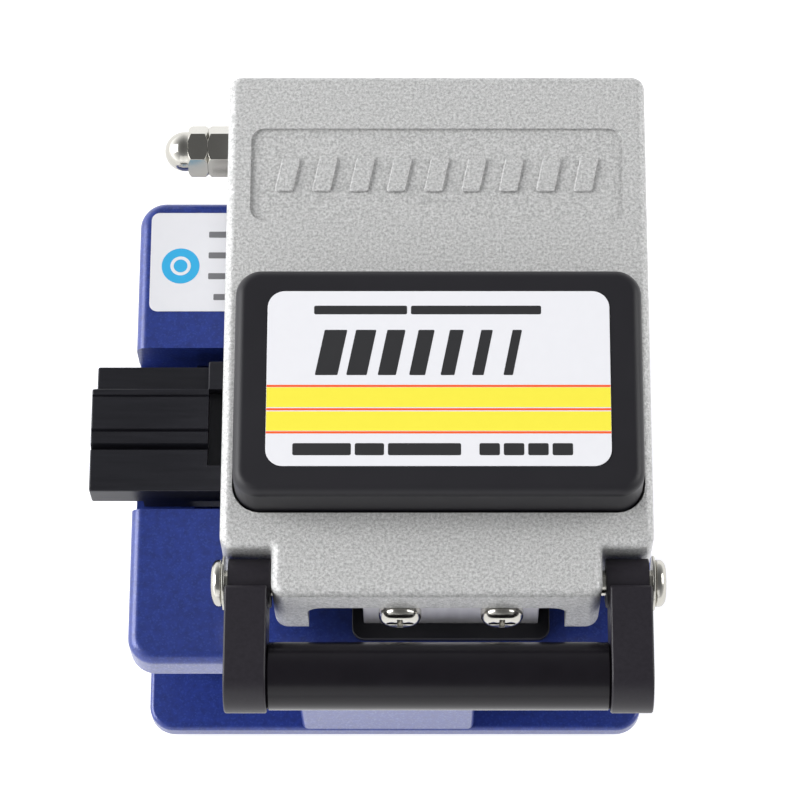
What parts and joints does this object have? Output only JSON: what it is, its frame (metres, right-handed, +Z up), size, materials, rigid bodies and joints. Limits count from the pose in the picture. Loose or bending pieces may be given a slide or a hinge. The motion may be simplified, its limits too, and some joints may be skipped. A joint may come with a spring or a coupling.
{
  "type": "optical fibre cleaver",
  "caption": "Compact bench fibre cleaver with a hinged clamping lid, press cap, pull bail, side fibre adapter and a sliding scoring wheel on a base plate.",
  "frame": {"origin": "centre of the rest mat's underside", "axes": "+Z up from the resting face, -Y towards the user and the pull bail, +X to the user's right, away from the fibre adapter"},
  "size_m": [0.068, 0.0779, 0.0631],
  "materials": {
    "mat_rubber": "matt",
    "pad_rubber": "matt",
    "blue_paint": "cast, painted with a fine metallic flake, satin",
    "silver_paint": "cast, painted with a coarse sparkling texture, satin",
    "black_plastic": "fine spark-eroded texture",
    "black_gloss": "black anodised, glossy",
    "black_anodised": "black anodised, satin",
    "label_white": "satin film",
    "chrome": "polished nickel",
    "brass": "turned",
    "carbide": "ground",
    "tongue_steel": "bright rolled",
    "steel": "ground"
  },
  "bodies": {
    "base": {"rest_mat": "mat_rubber", "base_plate": "blue_paint", "base_screw_1": "steel", "base_screw_2": "steel", "base_screw_3": "steel", "base_screw_4": "steel", "body_casting": "blue_paint", "slide_rail": "steel", "lower_clamp_left": "steel", "lower_clamp_right": "steel", "lower_pad_left": "pad_rubber", "lower_pad_right": "pad_rubber", "deck_label": "label_white", "keeper_plate": "black_anodised", "catch_magnet": "steel", "hinge_bush_left": "brass", "hinge_bush_right": "brass", "fiber_adapter": "black_anodised", "adapter_seat": "steel"},
    "lid": {"lid_shell": "silver_paint", "catch_tongue": "tongue_steel", "catch_screw_1": "chrome", "catch_screw_2": "chrome", "upper_clamp_left": "steel", "upper_clamp_right": "steel", "upper_pad_left": "pad_rubber", "upper_pad_right": "pad_rubber", "hinge_pin": "steel", "hinge_nut": "chrome", "acorn_nut": "chrome", "bail_washer_left": "chrome", "bail_washer_right": "chrome", "bail_screw_left": "chrome", "bail_screw_right": "chrome", "press_bush_left": "brass", "press_bush_right": "brass", "press_bush_anvil": "brass"},
    "press": {"press_cap": "black_plastic", "press_label": "label_white", "press_spring_left": "steel", "press_spring_right": "steel", "press_spring_anvil": "steel", "press_plunger_left": "steel", "press_plunger_right": "steel", "anvil": "steel"},
    "bail": {"bail_arm_left": "black_gloss", "bail_arm_right": "black_gloss", "bail_bar": "black_gloss"},
    "slider": {"slider_block": "blue_paint", "rail_carriage": "steel", "blade_mount": "steel", "blade_screw": "steel"},
    "blade": {"blade_wheel": "carbide", "blade_hub": "brass"}
  },
  "joints": [
    {"name": "lid_hinge", "type": "hinge", "parent": "base", "child": "lid", "pos_m": [0.00535, 0.0312, 0.0455], "axis": [-1, 0, 0], "range_deg": [0, 95]},
    {"name": "press_slide", "type": "slide", "parent": "lid", "child": "press", "axis": [0, 0, -1], "range_m": [0, 0.002], "stiffness_N_per_m": 1500, "springref_m": -0.001, "deforming": ["press_spring_left", "press_spring_right", "press_spring_anvil"]},
    {"name": "bail_pivot", "type": "hinge", "parent": "lid", "child": "bail", "pos_m": [0.00535, -0.0264, 0.0525], "axis": [-1, 0, 0], "range_deg": [-36, 60]},
    {"name": "slider_slide", "type": "slide", "parent": "base", "child": "slider", "axis": [0, 1, 0], "range_m": [0, 0.018]},
    {"name": "blade_index", "type": "hinge", "parent": "slider", "child": "blade", "pos_m": [-0.001, -0.0157, 0.0349], "axis": [1, 0, 0], "continuous": true}
  ]
}
